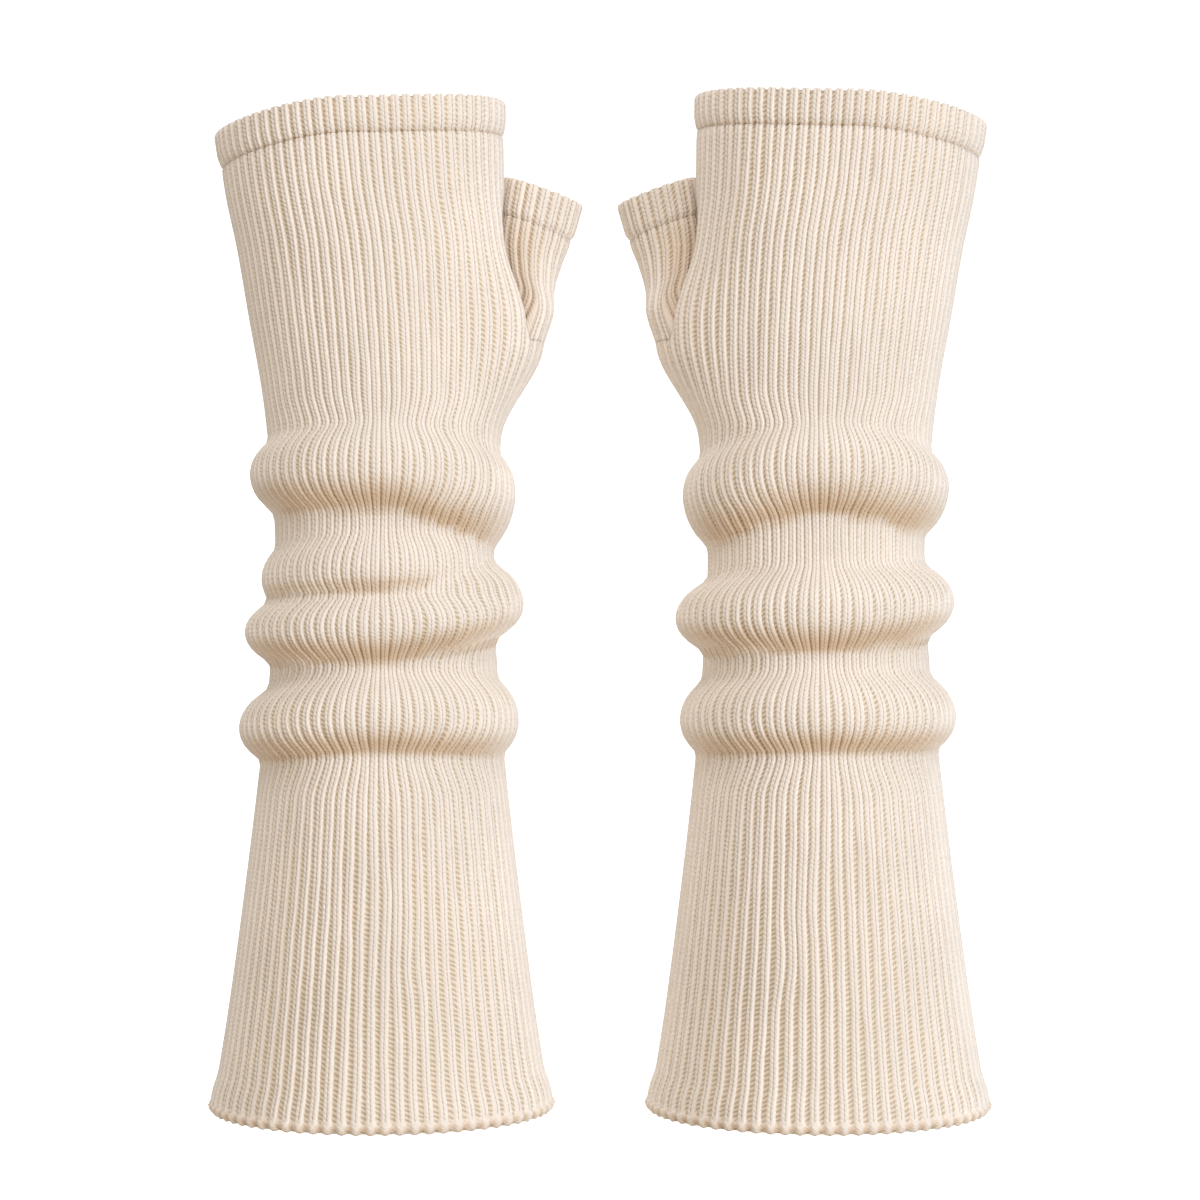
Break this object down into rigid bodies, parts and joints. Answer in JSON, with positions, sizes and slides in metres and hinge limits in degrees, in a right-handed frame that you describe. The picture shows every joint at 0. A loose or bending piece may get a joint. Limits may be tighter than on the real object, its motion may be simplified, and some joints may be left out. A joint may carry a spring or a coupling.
{
  "type": "pair of knitted arm warmers",
  "caption": "Long fingerless arm warmers in ribbed cream knit, each with a thumb, turned bands at the fingers and thumb, slouched wrist folds and a flared forearm edge.",
  "frame": {"origin": "midway between the two wrists, where the wearer's two forearms hold the pair up side by side", "axes": "+Z towards the fingers, -Y towards the front of the pair (the backs of the hands), +X from the left-hand one to the right-hand one as seen from the front"},
  "size_m": [0.2502, 0.0896, 0.3261],
  "materials": {
    "left_sleeve": "matt rib knit",
    "left_finger_band": "matt rib knit",
    "left_thumb": "matt rib knit",
    "left_thumb_band": "matt rib knit",
    "right_sleeve": "matt rib knit",
    "right_finger_band": "matt rib knit",
    "right_thumb": "matt rib knit",
    "right_thumb_band": "matt rib knit"
  },
  "bodies": {
    "root": {"left_sleeve": "left_sleeve", "left_finger_band": "left_finger_band", "left_thumb": "left_thumb", "left_thumb_band": "left_thumb_band", "right_sleeve": "right_sleeve", "right_finger_band": "right_finger_band", "right_thumb": "right_thumb", "right_thumb_band": "right_thumb_band"}
  },
  "joints": []
}
